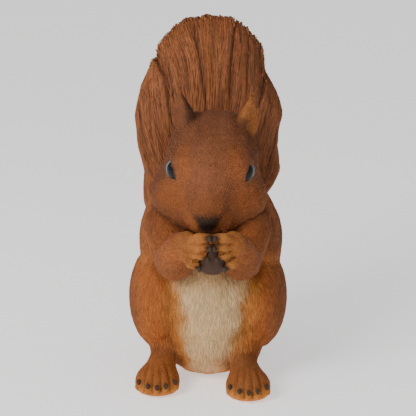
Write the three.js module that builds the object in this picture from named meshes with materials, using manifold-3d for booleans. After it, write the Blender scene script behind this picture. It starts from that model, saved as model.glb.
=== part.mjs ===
// A life-size garden figure of a red squirrel, cast in resin and painted: it sits up on its hind feet and
// its rump, eats a nut that it holds in both forepaws, and carries its tail up behind its back.
// Millimetres, +Z up, the face towards -Y, the animal's left side at +X, which names also call left.
//
// Every piece of flesh is the skin of its own blended muscle forms, as seen from a point inside it, and each
// later piece is cut back from the earlier ones by a thin parting gap.
import * as THREE from "three";
import { mergeVertices } from "three/addons/utils/BufferGeometryUtils.js";
import Module from "manifold-3d";

const wasm = await Module();
wasm.setup();

// ---------------------------------------------------------------- driving dimensions

const GAP = 0.3; // between pieces that meet
const FINENESS = 0.12; // the most that a piece's facets may stray where it is cut
const SIDES = [-1, 1]; // the animal's right, then its left
const TAIL_TOP = 205;
const HEAD_AT = [2, -8, 128];
const HEAD_TURN = [24, 4.5, -2.5]; // degrees: nose down, tilted to its left, facing a little to its right
// In the head's frame, which is a little uneven: its own right comes first.
const EYE_AT = { "-1": [20, -17, 11.4], 1: [18, -17.4, 14.6] };
const EYE_RADIUS = 6.2;
const EAR_AT = [18.2, 8, 24]; // in the head's frame, for the left ear
const EAR_TIP = 31; // above the middle of its root
const EAR_SPLAY = { "-1": 9, 1: 0.5 }; // degrees
const EAR_LEAN = -14;
const EAR_OUT = 40;
const SHOULDER = [26, -14, 96];
const ELBOW = [19.5, -36, 80.5];
const WRIST = [15, -50, 94];
const NUT_AT = [2.6, -54.5, 89.4];
const NUT_RADIUS = 11.4;
const FINGER_RADIUS = 2.8;
const FINGER_TIPS = [
  [1.6, 103],
  [1.2, 96.8],
  [2.6, 90.4],
  [7.4, 84.4],
]; // distance from the middle of the grip, and height
const GRIP_AT = [2.3, -62];
const FOOT_AT = { "-1": [-30, -36, 0], 1: [23.6, -44, 0] };
const FOOT_HALF_WIDTH = 14.2;
const TOE_COUNT = 5;
const TOE_RADIUS = 3.7;

// ---------------------------------------------------------------- forms
// A form takes a point and gives its distance from the form's surface, below zero inside.

const turned = (angles) => new THREE.Euler(...angles.map(THREE.MathUtils.degToRad));
const frameAt = (place, angles = [0, 0, 0]) =>
  new THREE.Matrix4().makeRotationFromEuler(turned(angles)).setPosition(...place);
const onSide = ([x, y, z], side) => [x * side, y, z];
const both = (make) => SIDES.map(make);

function egg(centre, radii, angles = [0, 0, 0]) {
  const inward = frameAt(centre, angles).invert();
  const [a, b, c] = radii;
  return (point) => {
    const p = point.clone().applyMatrix4(inward);
    const size = Math.hypot(p.x / a, p.y / b, p.z / c);
    const slope = Math.hypot(p.x / (a * a), p.y / (b * b), p.z / (c * c));
    return slope > 0 ? (size * (size - 1)) / slope : -Math.min(a, b, c);
  };
}

function limb(from, to, fromRadius, toRadius) {
  const start = new THREE.Vector3(...from);
  const along = new THREE.Vector3(...to).sub(start);
  return (point) => {
    const p = point.clone().sub(start);
    const t = THREE.MathUtils.clamp(p.dot(along) / along.lengthSq(), 0, 1);
    return p.addScaledVector(along, -t).length() - THREE.MathUtils.lerp(fromRadius, toRadius, t);
  };
}

function blended(reach, ...forms) {
  return (point) => {
    let near = Infinity;
    for (const form of forms) {
      const far = form(point);
      const share = Math.max(reach - Math.abs(near - far), 0) / reach;
      near = Math.min(near, far) - (share * share * reach) / 4;
    }
    return near;
  };
}

function carved(reach, form, tool) {
  const outside = blended(reach, (point) => -form(point), tool);
  return (point) => -outside(point);
}

function placed(form, frame) {
  const inward = frame.clone().invert();
  return (point) => form(point.clone().applyMatrix4(inward));
}

const grown = (form, by) => (point) => form(point) - by;

// ---------------------------------------------------------------- the animal

const headFrame = frameAt(HEAD_AT, HEAD_TURN);
const inHead = (place) => new THREE.Vector3(...place).applyMatrix4(headFrame).toArray();

const skullForm = blended(
  10,
  egg([0, 3, 5], [25.5, 31, 28.5]),
  egg([0, 4, 13.5], [25, 22, 13.5]),
  egg([0, -10, 13], [22.5, 20, 18]),
  ...both((side) => egg([17 * side, -8, -13], [18, 20, 19])),
  limb([0, -14, 2], [0, -34, -7], 18, 10.5),
  egg([0, -20, -18], [20, 15, 9]),
);
const muzzleForm = both((side) => egg([5.5 * side, -36.5, -9.5], [7.5, 7.5, 6.5]));
const eyeAt = (side) => onSide(EYE_AT[side], side);
const nearEye = (side, x, y, z) => eyeAt(side).map((value, i) => value + [x * side, y, z][i]);
const browForms = both((side) => egg(nearEye(side, -1.8, 1.5, 5.6), [5.5, 9, 5.5], [0, 0, -24 * side]));
const lidForms = both((side) => egg(nearEye(side, -0.7, 0.6, -0.8), [6.6, 7.2, 8.6], [0, 0, 30 * side]));
const headForm = placed(blended(5, skullForm, ...muzzleForm, ...browForms, ...lidForms), headFrame);
const noseForm = placed(egg([0, -41.8, -5], [6.6, 3.6, 3.8]), headFrame);

const earFrame = (side) => {
  const turn = [EAR_LEAN, EAR_SPLAY[side] * side, EAR_OUT * side];
  return headFrame.clone().multiply(frameAt(onSide(EAR_AT, side), turn));
};
const earForm = (side) => {
  const shell = blended(5, egg([0, 0, 5], [8.2, 5, 13]), limb([0, 0, 8], [0, 1, EAR_TIP], 5, 1.2));
  return placed(carved(2, shell, egg([0, -6.4, 9], [5, 4.2, 10])), earFrame(side));
};

const bellyForm = blended(
  14,
  egg([0, 2, 51], [38, 40, 50]),
  egg([0, 20, 36], [34, 27, 38]),
  egg([1, 4, 20], [28, 31, 19]),
);
const chestForm = blended(
  12,
  egg([2, 2, 94], [34, 31, 34]),
  egg([0, 16, 84], [31, 24, 40]),
  ...both((side) => egg([28.5 * side + 1.8, 2, 82], [15, 22, 26])),
);
const neckForm = limb([0, 4, 104], [1, 0, 122], 31, 28);

const upperArmForm = (side) => limb(onSide(SHOULDER, side), onSide(ELBOW, side), 13, 12);
const forearmForm = (side) => limb(onSide(ELBOW, side), onSide(WRIST, side), 12.5, 9);
const palmForm = (side) => egg([13.5 * side + 1, -53.5, 95], [8.5, 7, 10]);

const ankle = (side) => [FOOT_AT[side][0] * 0.88, FOOT_AT[side][1] + 14, 17];
const thighForm = (side) => egg([29 * side, -1, 48], [19, 33, 33], [16, 0, 0]);
const shinForm = (side) => limb([23.5 * side, -10, 31], ankle(side), 14, 8.5);
const footForm = (side) => {
  const [x, y] = FOOT_AT[side];
  return blended(
    5,
    limb(ankle(side), [x, y, 8], 8.5, 8),
    egg([x, y, 7.5], [FOOT_HALF_WIDTH - 0.8, 13, 9]),
    egg([x * 0.95, y + 12, 5], [9.5, 18, 8]),
    egg([x, y - 2, 3.5], [FOOT_HALF_WIDTH - 1.6, 12.8, 5.5]),
  );
};
const trunkForm = blended(10, bellyForm, chestForm, neckForm);

// The tail: lobes with one bent spine, fluted by the grooves between their locks.
const WAVE_HEIGHT = 55;
const WAVE_LENGTH = 190;
const FLUTE_DEPTH = 0.12;
const tailSpine = (z) => {
  const sway = 4 * Math.cos((2 * Math.PI * (z - WAVE_HEIGHT)) / WAVE_LENGTH);
  return 50 + sway + 14 * THREE.MathUtils.smoothstep(z, 140, 215);
};

function plume([x0, y0, z0], [a, b, c], lean, flutes, squareness = 2) {
  return (point) => {
    const t = (point.z - z0) / c;
    const u = (point.x - x0 - lean * t) / a;
    const groove = Math.abs(Math.sin(flutes * (u - 0.12 * t) + z0)) * (1 - u * u * 0.6);
    const v = (point.y - tailSpine(point.z) - y0) / (b * (1 - FLUTE_DEPTH * groove));
    const across = (Math.abs(u) ** squareness + Math.abs(t) ** squareness) ** (1 / squareness);
    return (Math.hypot(across, v) - 1) * Math.min(a, b, c);
  };
}

const tailForm = blended(
  4,
  plume([1, 0, TAIL_TOP - 31], [34.5, 17, 31], 1, 7, 2.8),
  plume([0, 0, 120], [34, 18, 78], 1, 7),
  plume([-22.5, -1, 142], [24, 15, 40], -1, 5),
  plume([-19, -1, 98], [22, 14, 27], 0, 5),
  plume([22, -1, 148], [22.3, 15, 29], 1, 5),
  plume([19.5, -2, 115], [23.5, 16, 28], 1, 5),
  plume([0, 0, 45], [31, 18, 52], 0, 7),
);

// ---------------------------------------------------------------- solids

function solidOf(geometry, frame = new THREE.Matrix4()) {
  const bare = geometry.clone().applyMatrix4(frame);
  for (const name of Object.keys(bare.attributes)) if (name !== "position") bare.deleteAttribute(name);
  const merged = mergeVertices(bare, 1e-3);
  return new wasm.Manifold(
    new wasm.Mesh({
      numProp: 3,
      vertProperties: merged.attributes.position.array,
      triVerts: new Uint32Array(merged.index.array),
    }),
  );
}

// The surface of a form as seen from a point inside it: an icosahedron's vertices, pushed out to the form.
function skinOf(form, centre, detail) {
  const STEP = 1;
  const REACH = 100;
  const HALVINGS = 12;
  const geometry = new THREE.IcosahedronGeometry(1, detail);
  const from = new THREE.Vector3(...centre);
  const places = geometry.attributes.position;
  const way = new THREE.Vector3();
  const found = new Map();
  for (let i = 0; i < places.count; i++) {
    way.fromBufferAttribute(places, i).normalize();
    const key = way.toArray().map((x) => x.toFixed(4)).join();
    if (!found.has(key)) {
      const at = (distance) => form(from.clone().addScaledVector(way, distance));
      let outer = STEP;
      while (outer < REACH && at(outer) < 0) outer += STEP;
      let inner = outer - STEP;
      for (let halving = 0; halving < HALVINGS; halving++) {
        const middle = (inner + outer) / 2;
        if (at(middle) < 0) inner = middle;
        else outer = middle;
      }
      found.set(key, from.clone().addScaledVector(way, outer));
    }
    places.setXYZ(i, ...found.get(key).toArray());
  }
  return solidOf(geometry);
}

function slab(low, high) {
  const size = high.map((x, i) => x - low[i]);
  const middle = high.map((x, i) => (x + low[i]) / 2);
  return solidOf(new THREE.BoxGeometry(...size), frameAt(middle));
}

// A frame at a place, with its own Y along the way to another place.
function pointing(from, to) {
  const way = new THREE.Vector3(...to).sub(new THREE.Vector3(...from)).normalize();
  const turn = new THREE.Quaternion().setFromUnitVectors(new THREE.Vector3(0, 1, 0), way);
  return new THREE.Matrix4().compose(new THREE.Vector3(...from), turn, new THREE.Vector3(1, 1, 1));
}

const distance = (from, to) => new THREE.Vector3(...from).distanceTo(new THREE.Vector3(...to));

function capsule(from, to, radius, capRings) {
  const middle = from.map((x, i) => (x + to[i]) / 2);
  return solidOf(new THREE.CapsuleGeometry(radius, distance(from, to), capRings, 5), pointing(middle, to));
}

function turnedSolid(profile, sides, frame) {
  const points = profile.map(([across, along]) => new THREE.Vector2(across, along));
  return solidOf(new THREE.LatheGeometry(points, sides), frame);
}

const largest = (solid) => solid.decompose().sort((a, b) => b.volume() - a.volume())[0];
const joined = (solids) => solids.reduce((whole, solid) => whole.add(solid));

// ---------------------------------------------------------------- paints

const paint = (colour, roughness) => new THREE.MeshStandardMaterial({ color: colour, roughness, metalness: 0 });
const FOX = paint(0x8a4520, 0.75);
const CREAM = paint(0xb08a62, 0.75);
const DARK = paint(0x2a2320, 0.6);
const SHELL = paint(0x4b3128, 0.6);
const GLOSS = paint(0x08080a, 0.08);

// ---------------------------------------------------------------- pieces

const figure = new THREE.Group();
// The floor, and the room of every piece so far.
const taken = [slab([-200, -200, -100], [200, 200, 0])];
const sideName = (name, side) => name + (side < 0 ? "_right" : "_left");

function addPiece(name, solid, material) {
  const mesh = solid.getMesh();
  const places = new Float32Array(mesh.numVert * 3);
  for (let i = 0; i < mesh.numVert; i++) {
    places.set(mesh.vertProperties.subarray(i * mesh.numProp, i * mesh.numProp + 3), i * 3);
  }
  const geometry = new THREE.BufferGeometry();
  geometry.setAttribute("position", new THREE.BufferAttribute(places, 3));
  geometry.setIndex(new THREE.BufferAttribute(mesh.triVerts, 1));
  geometry.computeVertexNormals();
  const node = new THREE.Mesh(geometry, material);
  node.name = name;
  figure.add(node);
}

// Adds the piece that shape(0) gives, cut back from the pieces before it, and keeps the later pieces out of
// shape(GAP).
function take(name, material, shape) {
  addPiece(name, largest(joined(shape(0)).subtract(joined(taken))).simplify(FINENESS), material);
  taken.push(joined(shape(GAP)));
}

const skinShape = (form, centre, detail, more = () => []) => (extra) =>
  [skinOf(grown(form, extra), centre, detail), ...more(extra)];

function takeNut() {
  const STEPS = 6;
  const turn = frameAt(NUT_AT, [-10, 0, 0]);
  take("nut", SHELL, (extra) => {
    const profile = Array.from({ length: STEPS + 1 }, (_, i) => {
      const angle = (i / STEPS - 0.5) * Math.PI;
      const across = i % STEPS ? Math.cos(angle) * (NUT_RADIUS + extra) : 0;
      return [across, Math.sin(angle) * (NUT_RADIUS * 0.72 + extra)];
    });
    return [turnedSolid(profile, 14, turn)];
  });
}

// A claw: a short blunt spike, from its root to its point.
function takeClaw(name, root, point, radius) {
  const long = distance(root, point);
  take(name, DARK, (extra) => {
    const profile = [
      [0, -extra],
      [radius + extra, -extra],
      [radius * 0.9 + extra, long * 0.6],
      [0, long + extra],
    ];
    return [turnedSolid(profile, 5, pointing(root, point))];
  });
}

// Toe number i of a hind foot, from the inner one out, as its knuckle and its tip.
function toe(side, i) {
  const [x, y] = FOOT_AT[side];
  const across = (i / (TOE_COUNT - 1)) * 2 - 1;
  const spread = across * (FOOT_HALF_WIDTH - TOE_RADIUS);
  const reach = 13.5 - 6.5 * across * across;
  return {
    knuckle: [x + spread * 0.6, y - 2, 10.5],
    tip: [x + spread, y - reach, TOE_RADIUS + 0.7 + across * across],
  };
}

// Finger number i of a forepaw, from the top one down.
function finger(side, i) {
  const [out, height] = FINGER_TIPS[i];
  const [gripX, gripY] = GRIP_AT;
  const lower = i * 0.4;
  return {
    root: [13.5 * side + 1.5, gripY + 7 + lower, 98.5 - i * 3],
    knuckle: [gripX + side * (out + 5.5), gripY - 0.6 + lower, height + 0.6 + lower],
    tip: [gripX + side * out, gripY + lower, height],
  };
}

for (const side of SIDES) {
  const frame = frameAt(inHead(eyeAt(side)));
  take(sideName("eye", side), GLOSS, (extra) => [
    solidOf(new THREE.IcosahedronGeometry(EYE_RADIUS + extra, 1), frame),
  ]);
}
take("nose", DARK, skinShape(noseForm, inHead([0, -41.6, -5]), 1));
takeNut();
take("trunk", CREAM, skinShape(trunkForm, [0, 6, 60], 4));
take("neck", FOX, skinShape(neckForm, [0, 3, 113], 1));
take("head", FOX, skinShape(headForm, inHead([0, -6, -2]), 4));

const TAIL_LENGTHS = { tail_base: [-10, 74, 3], tail_middle: [74, 140, 4], tail_tip: [140, 240, 4] };
for (const [name, [low, high, detail]] of Object.entries(TAIL_LENGTHS)) {
  const middle = (Math.max(low, 0) + Math.min(high, TAIL_TOP)) / 2;
  take(name, FOX, (extra) => {
    const length = slab([-100, -20, low], [100, 140, high + extra]);
    return [skinOf(grown(tailForm, extra), [0, tailSpine(middle), middle], detail).intersect(length)];
  });
}

for (const side of SIDES) {
  const fingers = (extra) =>
    FINGER_TIPS.flatMap((_, i) => {
      const { root, knuckle, tip } = finger(side, i);
      return [
        capsule(root, knuckle, FINGER_RADIUS + 0.4 + extra, 1),
        capsule(knuckle, tip, FINGER_RADIUS + extra, 1),
      ];
    });
  const toes = (extra) =>
    Array.from({ length: TOE_COUNT }, (_, i) => {
      const { knuckle, tip } = toe(side, i);
      return capsule(knuckle, tip, TOE_RADIUS + extra, 2);
    });
  const between = (a, b) => onSide(a.map((value, i) => (value + b[i]) / 2), side);
  const [footX, footY] = FOOT_AT[side];
  const earMiddle = new THREE.Vector3(0, 1.2, 6).applyMatrix4(earFrame(side)).toArray();
  take(sideName("ear", side), FOX, skinShape(earForm(side), earMiddle, 3));
  take(sideName("thigh", side), FOX, skinShape(thighForm(side), [29 * side, -2, 46], 3));
  take(sideName("shin", side), FOX, skinShape(shinForm(side), [24 * side, footY + 18, 24], 2));
  take(sideName("hind_foot", side), FOX, skinShape(footForm(side), [footX, footY + 4, 7], 3, toes));
  take(sideName("upper_arm", side), FOX, skinShape(upperArmForm(side), between(SHOULDER, ELBOW), 2));
  take(sideName("forearm", side), FOX, skinShape(forearmForm(side), between(ELBOW, WRIST), 2));
  take(sideName("forepaw", side), FOX, skinShape(palmForm(side), [13 * side + 1, -53.5, 95], 1, fingers));
}
for (const side of SIDES) {
  for (let i = 0; i < TOE_COUNT; i++) {
    const [x, y, z] = toe(side, i).tip;
    takeClaw(sideName("hind_claw_" + (i + 1), side), [x, y - 1, z + 4], [x, y - 3.9, z - 0.4], 1.5);
  }
  for (let i = 0; i < FINGER_TIPS.length; i++) {
    const [x, y, z] = finger(side, i).tip;
    const point = [x - side, y - 4.2, z - 0.8];
    takeClaw(sideName("fore_claw_" + (i + 1), side), [x + side * 0.6, y - 1, z], point, 1.3);
  }
}

// The origin stays under the middle of the figure's box, at the level it stands on.
const box = new THREE.Box3().setFromObject(figure);
figure.position.set(-(box.min.x + box.max.x) / 2, -(box.min.y + box.max.y) / 2, -box.min.z);
const part = new THREE.Group();
part.add(figure);

export default part;
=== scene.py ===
"""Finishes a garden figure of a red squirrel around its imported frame: a carved and painted resin cast."""

import math

import bmesh
import bpy
import numpy as np
from bpy.props import FloatProperty, FloatVectorProperty, IntProperty, PointerProperty
from mathutils import Matrix, Vector
from mathutils.bvhtree import BVHTree


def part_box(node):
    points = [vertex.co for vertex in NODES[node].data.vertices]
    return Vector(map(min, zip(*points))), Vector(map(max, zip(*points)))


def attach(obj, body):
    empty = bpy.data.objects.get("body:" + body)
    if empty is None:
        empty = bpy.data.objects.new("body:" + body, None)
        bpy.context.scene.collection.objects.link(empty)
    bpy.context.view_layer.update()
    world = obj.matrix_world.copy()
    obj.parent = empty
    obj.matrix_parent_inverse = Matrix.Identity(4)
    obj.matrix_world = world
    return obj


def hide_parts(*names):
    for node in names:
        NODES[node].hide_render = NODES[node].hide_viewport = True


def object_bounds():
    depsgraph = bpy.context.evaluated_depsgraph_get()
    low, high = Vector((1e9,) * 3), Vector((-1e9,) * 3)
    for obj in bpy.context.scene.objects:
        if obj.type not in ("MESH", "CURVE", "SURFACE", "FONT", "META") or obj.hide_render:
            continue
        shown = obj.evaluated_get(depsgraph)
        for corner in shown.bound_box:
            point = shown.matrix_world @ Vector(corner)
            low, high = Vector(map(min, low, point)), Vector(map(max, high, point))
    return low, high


bl_info = {
    "name": "Squirrel Garden Figure",
    "version": (1, 0, 0),
    "blender": (4, 5, 0),
    "location": "3D View > Sidebar > Squirrel",
    "description": "Casts, carves and paints a squirrel figure around its frame",
    "category": "Object",
}

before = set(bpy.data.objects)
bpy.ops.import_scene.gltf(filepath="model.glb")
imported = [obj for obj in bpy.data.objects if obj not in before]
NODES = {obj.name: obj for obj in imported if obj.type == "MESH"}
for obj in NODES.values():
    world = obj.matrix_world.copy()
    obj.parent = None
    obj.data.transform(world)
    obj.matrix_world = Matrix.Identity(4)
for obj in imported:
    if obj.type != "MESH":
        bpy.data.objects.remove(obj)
CAD_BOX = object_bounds()
MM = 0.001
SIDES = {"right": -1, "left": 1}

# The parts of the body, each with a lie of coat and a paint of its own, and the nodes that each is made of.
PARTS = {
    "head": ["head"],
    "ears": ["ear_right", "ear_left"],
    "trunk": ["trunk", "neck"],
    "arms": [f"{name}_{side}" for name in ("upper_arm", "forearm") for side in SIDES],
    "paws": ["forepaw_right", "forepaw_left"],
    "thighs": [f"{name}_{side}" for name in ("thigh", "shin") for side in SIDES],
    "feet": ["hind_foot_right", "hind_foot_left"],
    "tail": ["tail_base", "tail_middle", "tail_tip"],
}
PART_NAMES = list(PARTS)
SHARE_NAMES = [*PART_NAMES, "hollow_shade"]


# ---------------- settings


def number(name, description, value, unit="NONE"):
    return FloatProperty(name=name, description=description, default=value, unit=unit)


def size(name, description, value):
    return number(name, description, value, "LENGTH")


def colour(name, description, value):
    return FloatVectorProperty(
        name=name, description=description, default=value, subtype="COLOR", size=3, min=0, max=1
    )


def srgb(red, green, blue):
    """The linear colour of an sRGB one, whose channels run from 0 to 255."""
    share = np.array([red, green, blue]) / 255
    return tuple(np.where(share < 0.04045, share / 12.92, ((share + 0.055) / 1.055) ** 2.4))


class CarvingSettings(bpy.types.PropertyGroup):
    """Sizes of the cast and of its carved coat."""

    grain: size("Grain", "Size of the cast's own mesh", 1.12 * MM)
    coat_depth: size("Coat depth", "How far the cast lies inside the frame", 0.5 * MM)
    crowding: number("Crowding", "How densely the strokes are cut", 1.0)
    seed: IntProperty(name="Seed", description="Start of the random draws", default=7)


class PaintSettings(bpy.types.PropertyGroup):
    """Colours of the painted cast."""

    fox: colour("Fox", "Head, back and tail", srgb(150, 90, 52))
    umber: colour("Umber", "The shaded sides and the crown", srgb(110, 69, 47))
    orange: colour("Orange", "Brows, cheeks and arms", srgb(173, 100, 47))
    ochre: colour("Ochre", "Fingers, inner flanks and soles", srgb(190, 124, 58))
    clay: colour("Clay", "Forehead and tail", srgb(154, 97, 66))
    cream: colour("Cream", "The belly", srgb(226, 195, 149))
    soot: colour("Soot", "Nose and claws", srgb(46, 36, 30))
    horn: colour("Horn", "Claws", srgb(66, 50, 38))
    nut: colour("Nut", "The nut's shell", srgb(64, 41, 29))
    eye: colour("Eye", "The glossy eyes", srgb(6, 6, 8))
    # painted highlight: grey that stands for a reflection on the upper outer rims of the glass eyes
    rim_highlight: colour("Lid", "The upper rims of the eyes", srgb(112, 122, 128))
    ground: colour("Ground", "The studio floor", srgb(250, 249, 247))


class StudioSettings(bpy.types.PropertyGroup):
    """The camera and the lights."""

    camera_distance: size("Camera distance", "From the figure's middle to the camera", 1.1)
    camera_elevation: FloatProperty(
        name="Elevation", description="Of the camera", default=math.radians(16), subtype="ANGLE"
    )
    aim_height: size("Aim height", "Height that the camera looks at", 0.1013)
    lens: number("Lens", "Focal length", 158.7, "CAMERA")
    key_power: number("Key", "Power of the main light", 13, "POWER")
    fill_power: number("Fill", "Power of the fill light", 0.3, "POWER")
    sky: number("Sky", "Brightness all round", 0.42)
    floor_glow: number("Floor glow", "Keeps the floor pale far from the lights", 0.68)


# ---------------- shader maths


class Wire:
    """A socket of a node tree, with the arithmetic that the paints use."""

    def __init__(self, kit, socket):
        self.kit = kit
        self.socket = socket

    def maths(self, operation, first, second):
        return self.kit.node("ShaderNodeMath", {"operation": operation}, [first, second], "Value")

    def __add__(self, other):
        return self.maths("ADD", self, other)

    def __sub__(self, other):
        return self.maths("SUBTRACT", self, other)

    def __rsub__(self, other):
        return self.maths("SUBTRACT", other, self)

    def __mul__(self, other):
        return self.maths("MULTIPLY", self, other)

    __radd__, __rmul__ = __add__, __mul__


class Paint:
    """A material, with one method that adds any node to it."""

    def __init__(self, name, roughness):
        self.material = bpy.data.materials.new(name)
        self.material.use_nodes = True
        self.tree = self.material.node_tree
        self.shader = self.tree.nodes["Principled BSDF"]
        self.shader.inputs["Roughness"].default_value = roughness
        self.shader.inputs["Specular IOR Level"].default_value = 0.22

    def node(self, kind, settings, values, output):
        made = self.tree.nodes.new(kind)
        for name, value in settings.items():
            setattr(made, name, value)
        pairs = values.items() if isinstance(values, dict) else enumerate(values)
        for name, value in pairs:
            if isinstance(value, Wire):
                self.tree.links.new(value.socket, made.inputs[name])
            else:
                made.inputs[name].default_value = value
        return Wire(self, made.outputs[output])

    def into(self, name, wire):
        self.tree.links.new(wire.socket, self.shader.inputs[name])

    def attribute(self, name, output):
        return self.node("ShaderNodeAttribute", {"attribute_name": name}, {}, output)

    def noise(self, scale, detail=2.0, stretch=(1, 1, 1)):
        """Cloudy noise over the object's own space, which a stretch below 1 draws out along an axis."""
        place = self.multiplied(self.node("ShaderNodeTexCoord", {}, {}, "Object"), stretch)
        return self.node("ShaderNodeTexNoise", {}, {"Vector": place, "Scale": scale, "Detail": detail}, "Fac")

    def multiplied(self, first, second):
        """A colour or a vector times another, channel by channel."""
        return self.node("ShaderNodeVectorMath", {"operation": "MULTIPLY"}, [first, second], "Vector")

    def scaled(self, tint, factor):
        """A colour made lighter or darker by a number."""
        return self.node("ShaderNodeVectorMath", {"operation": "SCALE"}, {0: tint, "Scale": factor}, "Vector")

    def bumped(self, height, strength):
        values = {"Height": height, "Distance": 0.2 * MM, "Strength": strength}
        self.into("Normal", self.node("ShaderNodeBump", {}, values, "Normal"))


def coat_paint():
    """Matt paint brushed over the carving: it stays dark in the grooves and rubs light on the crests."""
    kit = Paint("painted_coat", 0.66)
    crest = kit.attribute("crest", "Fac")
    mottle = kit.noise(260, 3) - 0.5
    drift = kit.noise(45, 2) - 0.5
    strand = kit.attribute("strand", "Fac") * (kit.noise(900, 2, (1, 1, 0.05)) - 0.5)
    light = 0.66 + 0.46 * crest + 0.42 * mottle + 0.3 * drift + 1.1 * strand
    tint = kit.scaled(kit.attribute("paint", "Color"), light)
    warm = kit.multiplied(tint, (0.95, 0.84, 0.72))
    base = kit.node("ShaderNodeMix", {"data_type": "VECTOR"}, {"Factor": crest, 4: warm, 5: tint}, 1)
    kit.into("Base Color", base)
    kit.into("Roughness", 0.74 - 0.12 * crest)
    kit.bumped(kit.noise(1900, 3), 0.5)
    return kit.material


def plain_paint(name, tint, roughness, grain=0.0):
    """One colour of paint, with a little grain in it."""
    kit = Paint(name, roughness)
    kit.shader.inputs["Base Color"].default_value = (*tint, 1)
    if grain:
        light = 1 - 0.5 * grain + grain * kit.noise(700, 3)
        base = kit.node("ShaderNodeRGB", {}, {}, "Color")
        base.socket.default_value = (*tint, 1)
        kit.into("Base Color", kit.scaled(base, light))
        kit.bumped(kit.noise(1500, 3), 0.4)
    return kit.material


# ---------------- meshes


def column(collection, name, width=1):
    """An attribute of every item of a mesh's collection, as an array."""
    values = np.empty(len(collection) * width, np.float32)
    collection.foreach_get(name, values)
    return values.reshape(-1, width).astype(float) if width > 1 else values.astype(float)


def put(mesh, name, values):
    """Stores a number or a colour on every vertex of a mesh."""
    kind, key = ("FLOAT", "value") if values.ndim == 1 else ("FLOAT_COLOR", "color")
    if values.ndim > 1:
        values = np.hstack([values, np.ones((len(values), 1))])
    attribute = mesh.attributes.get(name) or mesh.attributes.new(name, kind, "POINT")
    attribute.data.foreach_set(key, values.astype(np.float32).ravel())


def unit(vectors):
    return vectors / np.maximum(np.linalg.norm(vectors, axis=-1, keepdims=True), 1e-12)


def dot(a, b):
    return np.sum(a * b, axis=-1)


def ramp(values, start, end):
    """0 before start, 1 after end, and smooth between them; start may be above end."""
    t = np.clip((values - start) / (end - start), 0, 1)
    return t * t * (3 - 2 * t)


def middle(node):
    low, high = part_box(node)
    return (low + high) / 2


def new_object(name, mesh):
    made = bpy.data.objects.new(name, mesh)
    bpy.context.scene.collection.objects.link(made)
    return made


def object_from(bm, name, smooth=True):
    """The finished piece of a bmesh, which it frees."""
    mesh = bpy.data.meshes.new(name)
    bmesh.ops.recalc_face_normals(bm, faces=bm.faces)
    bm.to_mesh(mesh)
    bm.free()
    mesh.shade_smooth() if smooth else mesh.shade_flat()
    return new_object(name, mesh)


def finish_piece(piece, material, stands_for=()):
    piece.data.materials.clear()
    piece.data.materials.append(material)
    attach(piece, "root")
    if stands_for:
        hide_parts(*stands_for)


def merged_copy(names, grow=0.0):
    """The nodes' meshes in one bmesh, with their doubles merged and pushed out along their normals."""
    whole = bmesh.new()
    for name in names:
        single = bmesh.new()
        single.from_mesh(NODES[name].data)
        bmesh.ops.remove_doubles(single, verts=single.verts, dist=1e-6)
        single.normal_update()
        for vertex in single.verts:
            vertex.co += vertex.normal * grow
        mesh = bpy.data.meshes.new(name + "_copy")
        single.to_mesh(mesh)
        single.free()
        whole.from_mesh(mesh)
        bpy.data.meshes.remove(mesh)
    return whole


def tree_of(names):
    bm = merged_copy(names)
    tree = BVHTree.FromBMesh(bm)
    bm.free()
    return tree


def with_modifiers(piece):
    """Makes a piece's modifiers part of its mesh."""
    evaluated = piece.evaluated_get(bpy.context.evaluated_depsgraph_get())
    mesh = bpy.data.meshes.new_from_object(evaluated)
    piece.modifiers.clear()
    piece.data = mesh


def keep_largest_shell(mesh):
    """Deletes every closed shell of a mesh but the one with the most faces."""
    edges = column(mesh.edges, "vertices", 2).astype(int)
    label = np.arange(len(mesh.vertices))
    while True:
        low = np.minimum(label[edges[:, 0]], label[edges[:, 1]])
        after = label.copy()
        np.minimum.at(after, edges[:, 0], low)
        np.minimum.at(after, edges[:, 1], low)
        after = after[after]
        if (after == label).all():
            break
        label = after
    main = np.bincount(label).argmax()
    bm = bmesh.new()
    bm.from_mesh(mesh)
    bm.verts.ensure_lookup_table()
    stray = [bm.verts[i] for i in np.flatnonzero(label != main)]
    bmesh.ops.delete(bm, geom=stray, context="VERTS")
    bm.to_mesh(mesh)
    bm.free()


class Web:
    """The vertices of a mesh with their neighbours, for smoothing."""

    def __init__(self, mesh):
        self.edges = column(mesh.edges, "vertices", 2).astype(int)
        self.count = np.bincount(self.edges.ravel(), minlength=len(mesh.vertices))

    def mean(self, values):
        """Every vertex's mean over its neighbours."""
        flat = values.reshape(len(values), -1)
        total = np.empty_like(flat)
        first, second = self.edges.T
        for i, values_in in enumerate(flat.T):
            total[:, i] = np.bincount(first, values_in[second], len(flat))
            total[:, i] += np.bincount(second, values_in[first], len(flat))
        return (total / self.count[:, None]).reshape(values.shape)

    def smoothed(self, values, rounds, share=0.5):
        for _ in range(rounds):
            values = values + share * (self.mean(values) - values)
        return values

    def relaxed(self, places, rounds, amount):
        """Smooths a shape by turns inwards and outwards, which keeps its volume."""
        for _ in range(rounds):
            for share in (0.55, -0.57):
                places = places + share * amount[:, None] * (self.mean(places) - places)
        return places


# ---------------- the cast's shape

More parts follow.
